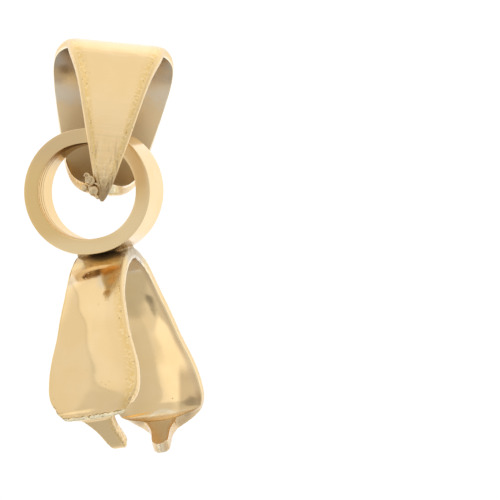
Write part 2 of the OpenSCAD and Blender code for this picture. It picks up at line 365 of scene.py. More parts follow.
def polyline(name, points, closed, attributes):
    """Object of joined points with the given point attributes, numbers or vectors."""
    mesh = bpy.data.meshes.new(name)
    count = len(points)
    edges = [(i, i + 1) for i in range(count - 1)] + ([(count - 1, 0)] if closed else [])
    mesh.from_pydata([tuple(p) for p in points], edges, [])
    for key, values in attributes.items():
        values = np.array(values, float)
        kind, field = ("FLOAT", "value") if values.ndim == 1 else ("FLOAT_VECTOR", "vector")
        mesh.attributes.new(key, kind, "POINT").data.foreach_set(field, values.astype(np.float32).ravel())
    piece = bpy.data.objects.new(name, mesh)
    bpy.context.scene.collection.objects.link(piece)
    return piece


def added_node(tree, kind, settings, inputs):
    """A new node of the tree with these settings, its inputs linked to given sockets or set to values."""
    made = tree.nodes.new(kind)
    for key, value in (settings or {}).items():
        setattr(made, key, value)
    for key, value in (inputs or {}).items():
        if isinstance(value, bpy.types.NodeSocket):
            tree.links.new(value, made.inputs[key])
        else:
            made.inputs[key].default_value = value
    return made


class Tree:
    """A geometry node tree with named inputs, whose nodes are added one by one."""

    def __init__(self, name, inputs):
        self.group = bpy.data.node_groups.new(name, "GeometryNodeTree")
        self.names = {}
        for label, kind in [("Geometry", "NodeSocketGeometry"), *inputs]:
            made = self.group.interface.new_socket(name=label, in_out="INPUT", socket_type=kind)
            self.names[label] = made.identifier
        self.group.interface.new_socket(name="Geometry", in_out="OUTPUT", socket_type="NodeSocketGeometry")
        self.source = self.group.nodes.new("NodeGroupInput")
        self.result = self.group.nodes.new("NodeGroupOutput")

    def given(self, label):
        return self.source.outputs[label]

    def node(self, kind, settings=None, inputs=None, output=0):
        return added_node(self.group, kind, settings, inputs).outputs[output]

    def named(self, label, kind="FLOAT"):
        return self.node("GeometryNodeInputNamedAttribute", {"data_type": kind}, {"Name": label})

    def math(self, operation, *values):
        return self.node("ShaderNodeMath", {"operation": operation}, dict(enumerate(values)))

    def vector(self, operation, a, b, output=0):
        second = "Scale" if operation == "SCALE" else 1
        return self.node("ShaderNodeVectorMath", {"operation": operation}, {0: a, second: b}, output)

    def centred_noise(self, grain):
        """Noise vector whose numbers lie on both sides of zero."""
        look = {"Scale": grain, "Detail": 2.0, "Roughness": 0.6}
        cloud = self.node("ShaderNodeTexNoise", inputs=look, output="Color")
        return self.vector("SUBTRACT", cloud, (0.5, 0.5, 0.5))

    def finish(self, geometry, material):
        whole = self.node("GeometryNodeRealizeInstances", inputs={"Geometry": geometry})
        done = self.node("GeometryNodeSetMaterial", inputs={"Geometry": whole, "Material": material})
        self.group.links.new(done, self.result.inputs[0])


def swept_sheet_tree():
    """Sheet swept along a path, whose points hold sizes and directions. Its section's points hold shares."""
    tree = Tree("Swept sheet", [("Section", "NodeSocketObject"), ("Rough cut", "NodeSocketFloat"),
                                ("Cut grain", "NodeSocketFloat"), ("Crumple grain", "NodeSocketFloat"),
                                ("Material", "NodeSocketMaterial")])
    path = tree.node("GeometryNodeMeshToCurve", inputs={"Mesh": tree.given("Geometry")})
    shape = tree.node("GeometryNodeObjectInfo", inputs={"Object": tree.given("Section")}, output="Geometry")
    section = tree.node("GeometryNodeMeshToCurve", inputs={"Mesh": shape})
    skin = tree.node("GeometryNodeCurveToMesh",
                     inputs={"Curve": path, "Profile Curve": section, "Fill Caps": True})
    softer = tree.math("SUBTRACT", tree.named("inner_edge"), tree.named("edge"))
    edge = tree.math("MULTIPLY_ADD", tree.named("inner"), softer, tree.named("edge"))
    flat_half = tree.math("SUBTRACT", tree.named("half_width"), edge)
    corner = tree.math("MULTIPLY", tree.named("side_round"), edge)
    sideways = tree.math("MULTIPLY_ADD", tree.named("side"), flat_half, corner)
    outer_flat = tree.math("SUBTRACT", tree.named("half_thick"), tree.named("edge"))
    inner_flat = tree.math("SUBTRACT", tree.named("inner_edge"), tree.named("half_thick"))
    down = tree.math("MULTIPLY", tree.named("inner"), tree.math("SUBTRACT", inner_flat, outer_flat))
    level = tree.math("ADD", outer_flat, down)
    through = tree.math("MULTIPLY_ADD", tree.named("face_round"), edge, level)
    domed = tree.math("MULTIPLY_ADD", tree.named("dome"), tree.named("dome_share"), through)
    rolled = tree.math("MULTIPLY_ADD", tree.named("roll"), tree.named("roll_share"), domed)
    crested = tree.math("MULTIPLY_ADD", tree.named("crest"), tree.named("crest_share"), rolled)
    rise = tree.math("ADD", crested, tree.named("groove"))
    flat = tree.node("ShaderNodeCombineXYZ", inputs={"X": sideways, "Y": rise, "Z": tree.named("along")})
    kept = tree.node("GeometryNodeStoreNamedAttribute", {"data_type": "FLOAT_VECTOR"},
                     {"Geometry": skin, "Name": "flat", "Value": flat})
    outward = tree.named("outward", "FLOAT_VECTOR")
    beside = tree.vector("SCALE", tree.named("across", "FLOAT_VECTOR"), sideways)
    above = tree.vector("SCALE", outward, rise)
    place = tree.vector("ADD", tree.named("place", "FLOAT_VECTOR"), tree.vector("ADD", beside, above))
    placed = tree.node("GeometryNodeSetPosition", inputs={"Geometry": kept, "Position": place})
    amount = tree.math("MULTIPLY", tree.given("Rough cut"), tree.named("cut"))
    amount = tree.math("MULTIPLY", amount, tree.named("wild"))
    filed = tree.vector("SCALE", tree.centred_noise(tree.given("Cut grain")), amount)
    rough = tree.node("GeometryNodeSetPosition", inputs={"Geometry": placed, "Offset": filed})
    folds = tree.vector("DOT_PRODUCT", tree.centred_noise(tree.given("Crumple grain")), (1, 1, 1), "Value")
    height = tree.math("MULTIPLY", tree.named("crumple"), tree.named("crest_share"))
    height = tree.math("MULTIPLY", height, folds)
    offset = tree.vector("SCALE", outward, height)
    crumpled = tree.node("GeometryNodeSetPosition", inputs={"Geometry": rough, "Offset": offset})
    smooth = tree.node("GeometryNodeSetShadeSmooth", inputs={"Geometry": crumpled, "Shade Smooth": True})
    tree.finish(smooth, tree.given("Material"))
    return tree


def weld_metal_tree():
    """Points with radii, in millimetres, run together into one lump of weld metal, in metres."""
    tree = Tree("Weld metal", [("Voxel", "NodeSocketFloat"), ("Ripple", "NodeSocketFloat"),
                               ("Grain", "NodeSocketFloat"), ("Material", "NodeSocketMaterial")])
    radius = tree.named("radius")
    drops = tree.node("GeometryNodeMeshToPoints", inputs={"Mesh": tree.given("Geometry"), "Radius": radius})
    settings = {"resolution_mode": "VOXEL_SIZE"}
    pool = tree.node("GeometryNodePointsToVolume", settings,
                     {"Points": drops, "Voxel Size": tree.given("Voxel"), "Radius": radius})
    skin = tree.node("GeometryNodeVolumeToMesh", settings,
                     {"Volume": pool, "Voxel Size": tree.given("Voxel"), "Threshold": 0.1})
    ripple = tree.vector("SCALE", tree.centred_noise(tree.given("Grain")), tree.given("Ripple"))
    moved = tree.node("GeometryNodeSetPosition", inputs={"Geometry": skin, "Offset": ripple})
    smooth = tree.node("GeometryNodeSetShadeSmooth", inputs={"Geometry": moved, "Shade Smooth": True})
    small = tree.node("GeometryNodeTransform", inputs={"Geometry": smooth, "Scale": (MM, MM, MM)})
    tree.finish(small, tree.given("Material"))
    return tree


def applied(guide, tree, values, name, keep):
    """The tree's result on the guide as a plain closed mesh at the origin. The guide goes."""
    modifier = guide.modifiers.new("Build", "NODES")
    modifier.node_group = tree.group
    for label, value in values.items():
        modifier[tree.names[label]] = value
    bpy.context.view_layer.update()
    graph = bpy.context.evaluated_depsgraph_get()
    mesh = bpy.data.meshes.new_from_object(guide.evaluated_get(graph), depsgraph=graph)
    bpy.data.objects.remove(guide)
    mesh.name = name
    for word in PATH_WORDS + SECTION_WORDS:
        if word in mesh.attributes and word not in keep:
            mesh.attributes.remove(mesh.attributes[word])
    shape = bmesh.new()
    shape.from_mesh(mesh)
    bmesh.ops.remove_doubles(shape, verts=shape.verts, dist=1e-8)
    bmesh.ops.recalc_face_normals(shape, faces=shape.faces)
    for face in shape.faces:
        face.smooth = len(face.verts) <= 4
    shape.to_mesh(mesh)
    shape.free()
    made = bpy.data.objects.new(name, mesh)
    bpy.context.scene.collection.objects.link(made)
    return made


PATH_WORDS = ("place", "across", "outward", "half_width", "half_thick", "edge", "inner_edge", "dome", "roll",
              "along", "wild", "crest", "crumple")
SECTION_WORDS = ("side", "side_round", "face_round", "inner", "dome_share", "roll_share", "crest_share",
                 "cut", "burr", "groove")
FINISH_WORDS = ("cut", "burr", "inner", "side", "flat", "wild", "groove", "crest")


def sheet_section(face_steps, corner_steps, roll_from=1.0, groove=None):
    """Section of a sheet as a closed ring of points: outer face, side, inner face and other side."""
    rows = []
    spread = [math.sin(a) for a in np.linspace(-math.pi / 2, math.pi / 2, face_steps)]
    down = [math.radians(90 - 90 * i / corner_steps) for i in range(1, corner_steps + 1)]
    for turn in (-1, 1):
        face = -turn
        inside = float(face < 0)
        for share in spread:
            side = share * turn
            past = max(0.0, abs(side) - roll_from)
            roll = 0 if inside or not past else (past / (1 - roll_from)) ** 2
            cut_in = groove(side) * MM if groove and inside else 0
            rows.append((side, 0, face, inside, 1 - side * side, roll, 1 - inside, 0, 0, cut_in))
        for a in down:
            rows.append((turn, turn * math.cos(a), face * math.sin(a), inside, 0, 1 - inside,
                         (1 - inside) * math.sin(a), 1, inside, 0))
        for share in (0.25, 0.5, 0.75):
            inner = share if face > 0 else 1 - share
            rows.append((turn, turn, 0, inner, 0, max(0, 1 - 2 * inner), 0, 1, 0, 0))
        for a in reversed(down):
            rows.append((turn, turn * math.cos(a), -face * math.sin(a), 1 - inside, 0, inside,
                         inside * math.sin(a), 1, 1 - inside, 0))
    table = {word: [float(row[i]) for row in rows] for i, word in enumerate(SECTION_WORDS)}
    return polyline("section", [(row[0] * MM, row[2] * MM, 0) for row in rows], True, table)


def sweep(name, table, closed, section, rough_cut, cut_grain, material):
    """Sheet along the path whose sizes the table holds in millimetres, with the given section."""
    bare = ("across", "outward", "wild")
    count = len(table["place"])
    full = {word: np.zeros(count) for word in PATH_WORDS}
    full["wild"] = np.ones(count)
    full.update(table)
    lengths = {word: np.array(full[word]) * (1 if word in bare else MM) for word in full}
    guide = polyline(name + "_guide", lengths["place"], closed, lengths)
    tree = swept_sheet_tree()
    values = {"Section": section, "Rough cut": rough_cut * MM, "Cut grain": cut_grain / MM,
              "Crumple grain": CRUMPLE_GRAIN / MM, "Material": material}
    piece = applied(guide, tree, values, name, FINISH_WORDS)
    bpy.data.objects.remove(section)
    return piece


def weld_metal(name, drops, voxel, ripple, grain, material):
    """Lump of weld metal from [x, y, z, radius] drops in millimetres."""
    drops = np.array(drops)
    guide = polyline(name + "_guide", drops[:, :3], False, {"radius": drops[:, 3]})
    values = {"Voxel": voxel, "Ripple": ripple, "Grain": grain, "Material": material}
    return applied(guide, weld_metal_tree(), values, name, ())


# Finishes


class Value:
    """A socket of a finish that adds Math nodes when it is used in an expression."""

    def __init__(self, finish, socket):
        self.finish = finish
        self.socket = socket

    def __add__(self, other):
        return self.finish.math("ADD", self, other)

    def __sub__(self, other):
        return self.finish.math("SUBTRACT", self, other)

    def __rsub__(self, other):
        return self.finish.math("SUBTRACT", other, self)

    def __mul__(self, other):
        return self.finish.math("MULTIPLY", self, other)

    __radd__ = __add__
    __rmul__ = __mul__

    def rising(self, low, high):
        """0 below low and 1 above high, smooth between."""
        settings = {"interpolation_type": "SMOOTHSTEP"}
        limits = {"Value": self, "From Min": low, "From Max": high}
        return self.finish.node("ShaderNodeMapRange", settings, limits)

    def between(self, low, high, soft):
        """1 from low to high, with soft edges."""
        return self.rising(low - soft, low + soft) * (1 - self.rising(high - soft, high + soft))

    def smaller(self, other):
        return self.finish.math("MINIMUM", self, other)

    def stepped(self, level, steps):
        """The level, lowered by each [drop, from, to] step toward smaller values."""
        for drop, low, high in steps:
            level = level - drop * (1 - self.rising(low, high))
        return level

    def size(self):
        return self.finish.math("ABSOLUTE", self)


class Finish:
    """A material, or the tent's light, whose nodes are added one by one."""

    def __init__(self, owner):
        self.owner = owner
        owner.use_nodes = True
        self.tree = owner.node_tree
        self.tree.nodes.clear()

    def node(self, kind, settings=None, inputs=None, output=0):
        sockets = {key: getattr(value, "socket", value) for key, value in (inputs or {}).items()}
        made = added_node(self.tree, kind, settings, sockets)
        return None if output is None else Value(self, made.outputs[output])

    def math(self, operation, *values):
        return self.node("ShaderNodeMath", {"operation": operation}, dict(enumerate(values)))

    def place(self):
        """Object coordinates in millimetres."""
        return self.stretched(self.node("ShaderNodeTexCoord", output="Object"), (1, 1, 1))

    def flat_place(self, scale=(1, 1, 1)):
        """Place on the sheet in millimetres: across it, through it and along it."""
        where = self.node("ShaderNodeAttribute", {"attribute_name": "flat"}, output="Vector")
        return self.stretched(where, scale)

    def stretched(self, where, scale):
        return self.node("ShaderNodeMapping", inputs={"Vector": where, "Scale": [s / MM for s in scale]})

    def word(self, name):
        """The piece's own attribute of that name, a number."""
        return self.node("ShaderNodeAttribute", {"attribute_name": name}, output="Fac")

    def dot(self, a, b):
        return self.node("ShaderNodeVectorMath", {"operation": "DOT_PRODUCT"}, {0: a, 1: b}, "Value")

    def noise(self, where, scale, detail=2.0):
        return self.node("ShaderNodeTexNoise", inputs={"Vector": where, "Scale": scale, "Detail": detail})

    def cells(self, where, scale, output="Distance", feature="F1"):
        inputs = {"Vector": where, "Scale": scale}
        return self.node("ShaderNodeTexVoronoi", {"feature": feature}, inputs, output)

    def mixed(self, share, a, b):
        return self.node("ShaderNodeMix", {"data_type": "RGBA"}, {0: share, 6: a, 7: b}, 2)

    def coated(self, colour, coats):
        """The colour under coats of [share, colour], the last one on top."""
        for share, coat in coats:
            colour = self.mixed(share, colour, rgba(coat))
        return colour

    def bump(self, height, depth, under=None):
        inputs = {"Height": height, "Strength": 1.0, "Distance": depth * MM}
        if under:
            inputs["Normal"] = under
        return self.node("ShaderNodeBump", inputs=inputs)

    def distance(self, here, there):
        return self.node("ShaderNodeVectorMath", {"operation": "DISTANCE"}, {0: here, 1: there}, "Value")

    def shifted(self, where, amount):
        return self.node("ShaderNodeVectorMath", {"operation": "ADD"}, {0: where, 1: amount})

    def near_seam(self, here, reach):
        """1 round the seam between ring and arch, with a ragged end."""
        ragged = self.distance(here, SEAM_MIDDLE) + self.noise(here, 1.6, 2.0) * 0.8
        return 1 - ragged.rising(reach - 0.9, reach)

    def shaded(self, **inputs):
        """The material with a Principled surface whose sockets are named with _ for a space."""
        sockets = {key.replace("_", " "): value for key, value in inputs.items()}
        shader = self.node("ShaderNodeBsdfPrincipled", inputs=sockets)
        self.node("ShaderNodeOutputMaterial", inputs={"Surface": shader}, output=None)
        return self.owner


def rgba(colour):
    return (*colour, 1)


def plated(name, looks, plating, pinch):
    """Polished gold plating, yellower toward the rims, with satin cut edges, a bright burr, faults and
    painted light.
    """
    polish, waviness, line_depth, facet_depth = plating
    f = Finish(bpy.data.materials.new(name))
    here = f.place()
    cut, burr, inner, side = [f.word(word) for word in ("cut", "burr", "inner", "side")]
    both = side.size()
    outer = 1 - inner.rising(0.5, 1)
    inside = inner * (1 - cut)
    outside = outer * (1 - cut)
    along = f.dot(f.flat_place(), (0, 0, 1))
    # Rough, filed edges at the end of the strip and beside the arch: real wear, whose pale colour is partly
    # painted glare
    worn = (f.word("wild") - 1) * 0.4
    rim = ((side if pinch else both).rising(0.7, 0.95) + 0.25 * both.rising(0.85, 1)) * outer
    patches = f.noise(here, 0.5, 3.0).rising(0.35, 0.65)
    grain = f.noise(here, 7.0, 3.0)
    fine_lines = f.noise(f.flat_place((0.35, 1, 4.5)), 1.0)
    facets = f.cells(here, 2.1, feature="SMOOTH_F1")
    chosen = f.dot(f.cells(here, 4.2, "Color"), (1, 0, 0)).rising(0.5, 0.55)
    pitted = (f.noise(here, 0.7).rising(0.52, 0.64) * 0.6 + rim) * chosen
    dot = (1 - f.cells(here, 4.2).rising(0.05, 0.2)) * pitted
    burr_share = along.rising(*FRONT_BURR) * 0.5 + 0.4 if pinch else 0.9
    coats = [
        (patches * 0.35, looks.pale_gold),
        (rim * 0.8, looks.deep_gold),
        (rim * grain.rising(0.5, 0.6) * 0.6, looks.bright),
        (cut, looks.satin),
        # Pale on those edges: partly wear, partly a painted highlight
        ((cut + rim).smaller(1) * worn * 0.8, looks.lip),
        (burr * burr_share, looks.burr),
        (dot * 0.55, looks.weld),
    ]
    rough = polish + 0.05 * grain + 0.14 * cut * (1 - burr) + 0.1 * rim * grain
    normal = f.bump(f.noise(here, 0.8, 1.0), waviness)
    normal = f.bump(fine_lines * outer, line_depth, normal)
    normal = f.bump(grain * (1 + 9 * cut + 5 * rim), 0.0015, normal)
    normal = f.bump(facets * (cut + 0.5 * rim).smaller(1) * worn, facet_depth, normal)
    normal = f.bump(1 - dot, 0.02, normal)
    if pinch:
        across = f.dot(f.flat_place(), (1, 0, 0))
        back = f.dot(here, (0, 1, 0))
        ragged_back = back + 0.1 * grain
        crest = f.word("crest") * (1 / (CREST * MM))
        lip = (crest + 0.8 * grain - 0.4).rising(0.3, 0.6) * outer
        folds = f.cells(here, 4.5, feature="SMOOTH_F1")
        round_root = f.shifted(f.flat_place(HOOF_SHAPE), (0, 0, -HOOF_SHAPE[2] * HOOF_MIDDLE))
        hoof_highlight = f.distance(round_root, (0, 0, 0)).between(*HOOF) * along.rising(*HOOF_START) * inside
        square_end = 1 - along.rising(*SQUARE_END)
        foot_inside_highlight = (1 - along.rising(*BACK_FOOT)) * inside
        patch_left = (across - 0.25 * along + 0.3).rising(0, 0.35)
        band = both.rising(0.78, 0.95) * inside
        coats += [
            # Painted highlight: paler inside the back leaf's foot
            (foot_inside_highlight * 0.7, looks.burr),
            (cut * (1 - along.rising(*BACK_FOOT_RIM)) * 0.8, looks.dull_gold_and_shade),
            # Painted shade: a brown patch inside the back leaf
            (patch_left * along.between(*BROWN_PATCH) * inside * 0.65, looks.tinted),
            ((1 - along.rising(*BACK_PRONG)) * inside * 0.8, looks.tarnish),
            (cut * along.rising(*FRONT_PRONG) * grain.rising(0.5, 0.6) * 0.4, looks.weld),
            # The hoof-shaped arc is a painted highlight
            ((hoof_highlight + square_end).smaller(1) * 0.85, looks.burr),
            (band * 0.6, looks.dull_gold_and_shade),
            # The crumpled lip is a real ridge; its near-white colour is partly a painted highlight
            (lip * 0.95, looks.lip),
            (f.near_seam(here, BURNT_REACH) * 0.9, looks.bare),
            # Painted reflections under the ring: a light glint and a dark stripe for the ring, paler and
            # greyer over the loop's
            (back.between(*SHOULDER) * outside * 0.35, looks.bare),
            (ragged_back.between(*GLINT) * outside * 0.9, looks.lip),
            (ragged_back.between(*STRIPE) * outside * (1 - rim) * 0.2, looks.weld),
            (across.between(*POINT_ACROSS) * back.between(*POINT) * outside * 0.5, looks.tarnish),
        ]
        rough = rough + 0.15 * lip + 0.15 * band + 0.22 * foot_inside_highlight + 0.3 * rim * worn
        rough = rough + 0.12 * f.near_seam(here, DULLED_REACH)
        normal = f.bump(folds * lip, 0.2, normal)
    else:
        near_tip = (1 - along.rising(*NEAR_TIP)) * outer
        bent = f.noise(here, 1.5) * 0.5
        long_lines = f.noise(f.shifted(f.flat_place((7, 1, 0.9)), bent), 1.0, 3.0)
        heat = (1 - (along + 1.5 * grain).rising(*HEAT_TINT)) * outer
        high = f.dot(here, (0, 0, 1)) + 2 * f.noise(here, 0.6)
        tip_inside_lightened = (1 - along.rising(*TIP_INSIDE)) * inside
        dark_spot = 1 - (f.distance(here, DARK_SPOT) + 0.4 * grain).rising(0.25, 0.75)
        coats += [
            (heat * 0.9, looks.tinted),
            (long_lines.rising(0.56, 0.66) * near_tip * 0.5, looks.weld),
            # Pale streaks near the tip are painted glints along the scratches; the dark streaks and the bumps
            # are the scratches themselves
            ((1 - long_lines.rising(0.34, 0.42)) * near_tip * (1 - heat) * 0.4, looks.burr),
            (inside * 0.4, looks.burr),
            (high.rising(*TARNISHED) * inside * 0.95, looks.tarnish),
            # Painted highlight: a pale band inside the loop
            ((high + 0.6 * grain).between(*INSIDE_HIGHLIGHT) * inside * 0.75, looks.rubbed),
            (dark_spot * inside * 0.65, looks.weld),
            # Painted light: the inside paler near both ends of the strip
            ((worn * inside + tip_inside_lightened).smaller(1) * 0.9, looks.burr),
        ]
        rough = rough + 0.2 * inside + 0.3 * tip_inside_lightened + 0.12 * near_tip * grain
        normal = f.bump((1 - long_lines) * near_tip, 0.09, normal)
    colour = f.coated(rgba(looks.gold), coats)
    return f.shaded(Base_Color=colour, Roughness=rough, Normal=normal, Metallic=1.0)


def turned_gold(name, looks):
    """Satin plating on turned faces: fine circles round the axis, dull tool marks inside, painted light and
    shade.
    """
    f = Finish(bpy.data.materials.new(name))
    here = f.place()
    face, inner = f.word("cut"), f.word("inner")
    inside = inner.rising(0.8, 1) * (1 - face)
    corner = face * (1 - face) * 4
    right = f.dot(here, (1, 0, 0)) - RING_MIDDLE.x
    above = f.dot(here, (0, 0, 1)) - RING_MIDDLE.z
    marks = (f.word("groove") * (-1 / MM)).rising(0.004, 0.02)
    circles = f.noise(f.flat_place((16, 22, 0.02)), 1.0, 3.0)
    patches = f.noise(here, 0.45).rising(0.35, 0.65)
    grain = f.noise(here, 8.0, 3.0)
    shade = above.rising(*RING_SHADE) * (1 - right.rising(*RING_SHADE_RIGHT))
    beside_leg = right.rising(*RING_BESIDE_LEG_RIGHT) * above.between(*RING_BESIDE_LEG)
    low = 1 - above.rising(*RING_LOW)
    colour = f.coated(rgba(looks.gold), [
        (patches * 0.5, looks.deep_gold),
        (face * 0.5, looks.deep_gold),
        # Painted light and shade: the face lighter toward the right and darker at its upper left
        (face * right.rising(*RING_RIGHT), looks.bright),
        (face * shade * 0.6, looks.dull_gold_and_shade),
        (inside * 0.8, looks.deep_gold),
        # Painted shade: darker at the top inside
        (inside * above.rising(*RING_TOP_INSIDE) * 0.6, looks.tinted),
        (marks * 0.55, looks.weld),
        (corner * 0.9, looks.weld),
        # Painted light: the face lighter beside the leg and at the bottom, the outer side paler at the bottom
        (face * beside_leg, looks.bright),
        (face * low, looks.bright),
        (low * (1 - face) * (1 - inside) * 0.7, looks.bare),
    ])
    rough = 0.13 + 0.07 * face + 0.12 * inside + 0.1 * face * beside_leg + 0.04 * grain + 0.04 * circles
    rough = rough + 0.15 * f.near_seam(here, RING_DULLED_REACH)
    normal = f.bump(circles * (1 - inside), 0.0004)
    return f.shaded(Base_Color=colour, Roughness=rough, Normal=normal, Metallic=1.0)


def weld_gold(name, looks, tint):
    """Rippled weld metal under thin plating, with painted shade in its hollows."""
    f = Finish(bpy.data.materials.new(name))
    here = f.place()
    hollow = 1 - f.node("ShaderNodeNewGeometry", output="Pointiness").rising(0.47, 0.53)
    soot = f.noise(here, 2.2, 3.0).rising(0.3, 0.6)
    grain = f.noise(here, 9.0, 3.0)
    # Painted shade: darker in the hollows
    coats = [(tint + (1 - tint) * 0.5 * soot, looks.tinted), (hollow * 0.9, looks.weld)]
    colour = f.coated(rgba(looks.pale_gold), coats)
    normal = f.bump(grain, 0.008)
    return f.shaded(Base_Color=colour, Roughness=0.08 + 0.12 * grain, Normal=normal, Metallic=1.0)


# Pieces


def as_hung(points, sizes, directions=False):
    """Points or directions of the upright loop, as the loop hangs."""
    turn = (Matrix.Rotation(math.radians(sizes.loop_turn), 3, "Z")
            @ Matrix.Rotation(math.radians(sizes.loop_roll), 3, "Y")
            @ Matrix.Rotation(math.radians(-sizes.loop_lean), 3, "X"))
    moved = np.array(points) @ np.array(turn).T
    return moved if directions else moved - np.array(CHAIN_SEAT)


def as_dropped(points, sizes, directions=False):
    """Points or directions of the upright ring and pinch, as they hang."""
    turn = Matrix.Rotation(math.radians(-sizes.drop_lean), 3, "Y")
    moved = np.array(points) @ np.array(turn).T
    return moved if directions else moved + np.array(RING_MIDDLE)


def settle(piece, body, node):
    """Puts the piece on its body and, where one is named, in a node's place."""
    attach(piece, body)
    if node:
        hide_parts(node)


class BAIL_OT_loop(bpy.types.Operator):
    """Builds the tapered strip bent into a loop, in place of its plain solid"""

    bl_idname = "bail.loop"
    bl_label = "Strip loop"

    def execute(self, context):
        sizes, looks = context.scene.bail_sizes, context.scene.bail_looks
        rows = smooth_rows(LOOP_ROWS[:-1] + TIP_ROWS, 14)
        line = rows[:, :2] * (sizes.loop_depth, sizes.loop_height)
        out = -left_normals(line)
        count = len(rows)
        along = travelled(line)
        end = np.minimum(along, along[-1] - along) / LOOP_END
        rounding = np.sqrt(1 - (1 - np.clip(end, 0.02, 1)) ** 2)
        zero = np.zeros(count)
        half_width = rows[:, 2] * sizes.strip_width / 2 * (0.35 + 0.65 * rounding)
        half_thick = np.full(count, sizes.strip_thickness / 2) * (0.5 + 0.5 * rounding)
        thinnest = np.minimum(half_thick, half_width)
        table = {
            "place": as_hung(np.stack([zero, line[:, 0], line[:, 1]], 1), sizes),
            "across": as_hung(np.stack([zero + 1, zero, zero], 1), sizes, True),
            "outward": as_hung(np.stack([zero, out[:, 0], out[:, 1]], 1), sizes, True),
            "half_width": half_width,
            "half_thick": half_thick,
            "edge": np.minimum(LOOP_EDGES[0], 0.8 * thinnest),
            "inner_edge": np.minimum(LOOP_EDGES[1], 0.2 * thinnest),
            "roll": zero + LOOP_ROLL,
            "along": along[-1] - along,
            "wild": 1 + EXTRA_WILD * np.clip(1 - along / LOOP_WILD_REACH, 0, 1) ** 0.5,
        }
        material = plated("loop_gold", looks, LOOP_PLATING, False)
        section = sheet_section(face_steps=37, corner_steps=6, roll_from=0.8)
        loop = sweep("strip_loop_strip", table, False, section, *LOOP_FILED, material)
        settle(loop, "loop", "strip_loop")
        return {"FINISHED"}


class BAIL_OT_loop_weld(bpy.types.Operator):
    """Builds the curled beads of weld metal where the strip's two ends meet"""

    bl_idname = "bail.loop_weld"
    bl_label = "Loop's weld beads"

    def execute(self, context):
        sizes, looks = context.scene.bail_sizes, context.scene.bail_looks
        tip = np.array([TIP_ROWS[-1][:2]]) * (sizes.loop_depth, sizes.loop_height)
        tip = as_hung([[0, *tip[0]]], sizes)[0]
        drops = [row[:] for row in LUMPS]
        for middle, turn_r, from_turn, to_turn, depth, wire in CURLS:
            for share in np.linspace(0, 1, 26):
                a = math.radians(from_turn + (to_turn - from_turn) * share)
                drops.append([middle[0] + turn_r * math.cos(a), middle[1] + depth * (share - 0.5),
                              middle[2] + turn_r * math.sin(a), wire * (1 - 0.25 * share)])
        drops = np.array(drops)
        turn = np.array(Matrix.Rotation(math.radians(VIEW_AZIMUTH), 3, "Z"))
        drops[:, :3] = drops[:, :3] @ turn.T + tip
        material = weld_gold("loop_weld_gold", looks, 0.25)
        beads = weld_metal("weld_beads", drops, *BEAD_METAL, material)
        settle(beads, "loop", None)
        return {"FINISHED"}


class BAIL_OT_ring(bpy.types.Operator):
    """Builds the turned ring, in place of its plain solid"""

    bl_idname = "bail.ring"
    bl_label = "Ring"

    def execute(self, context):
        sizes, looks = context.scene.bail_sizes, context.scene.bail_looks
        middle_r = sizes.ring_height / 2 - sizes.ring_wall / 2
        angles = np.linspace(0, 2 * math.pi, 240, endpoint=False)
        out = np.stack([np.cos(angles), np.zeros(240), np.sin(angles)], 1)
        place = out * middle_r
        place[:, 0] += sizes.ring_oval / 2 * np.clip(4 * np.cos(angles), -1, 1)
        zero = np.zeros(240)
        table = {
            "place": as_dropped(place, sizes),
            "across": as_dropped(np.stack([zero, zero + 1, zero], 1), sizes, True),
            "outward": as_dropped(out, sizes, True),
            "half_width": zero + sizes.ring_length / 2,
            "half_thick": zero + sizes.ring_wall / 2,
            "edge": zero + RING_EDGES[0],
            "inner_edge": zero + RING_EDGES[1],
            "along": middle_r * angles,
        }
        section = sheet_section(face_steps=91, corner_steps=4, groove=tool_marks)
        ring = sweep("hanging_ring", table, True, section, *RING_FILED, turned_gold("ring_gold", looks))
        settle(ring, "drop", "ring_and_pinch")
        return {"FINISHED"}


def tool_marks(side):
    """Depth in millimetres of the turning tool's grooves inside the ring, at that share of its length."""
    return sum(depth * max(0.0, 1 - abs(side - where) / wide) for where, wide, depth in TOOL_MARKS)


class BAIL_OT_ring_weld(bpy.types.Operator):
    """Builds the thin seam of weld metal between the ring and the arch"""

    bl_idname = "bail.ring_weld"
    bl_label = "Ring's weld"

    def execute(self, context):
        sizes, looks = context.scene.bail_sizes, context.scene.bail_looks
        radius = sizes.ring_height / 2
        drops = []
        for across in np.linspace(-SEAM_REACH, SEAM_REACH, 19):
            gap = across * across / (2 * radius)
            for back in np.linspace(SEAM_FRONT, SEAM_BACK, 9):
                fall = 0.12 * (back - 0.85) ** 2
                up = -radius + 0.5 * gap - 0.5 * fall
                drops.append([across, back, up, 0.09 + 0.4 * gap + 0.3 * fall])
        drops = np.array(drops)
        drops[:, :3] = as_dropped(drops[:, :3], sizes)
        seam = weld_metal("ring_weld", drops, *SEAM_METAL, weld_gold("ring_weld_gold", looks, 0.8))
        settle(seam, "drop", None)
        return {"FINISHED"}


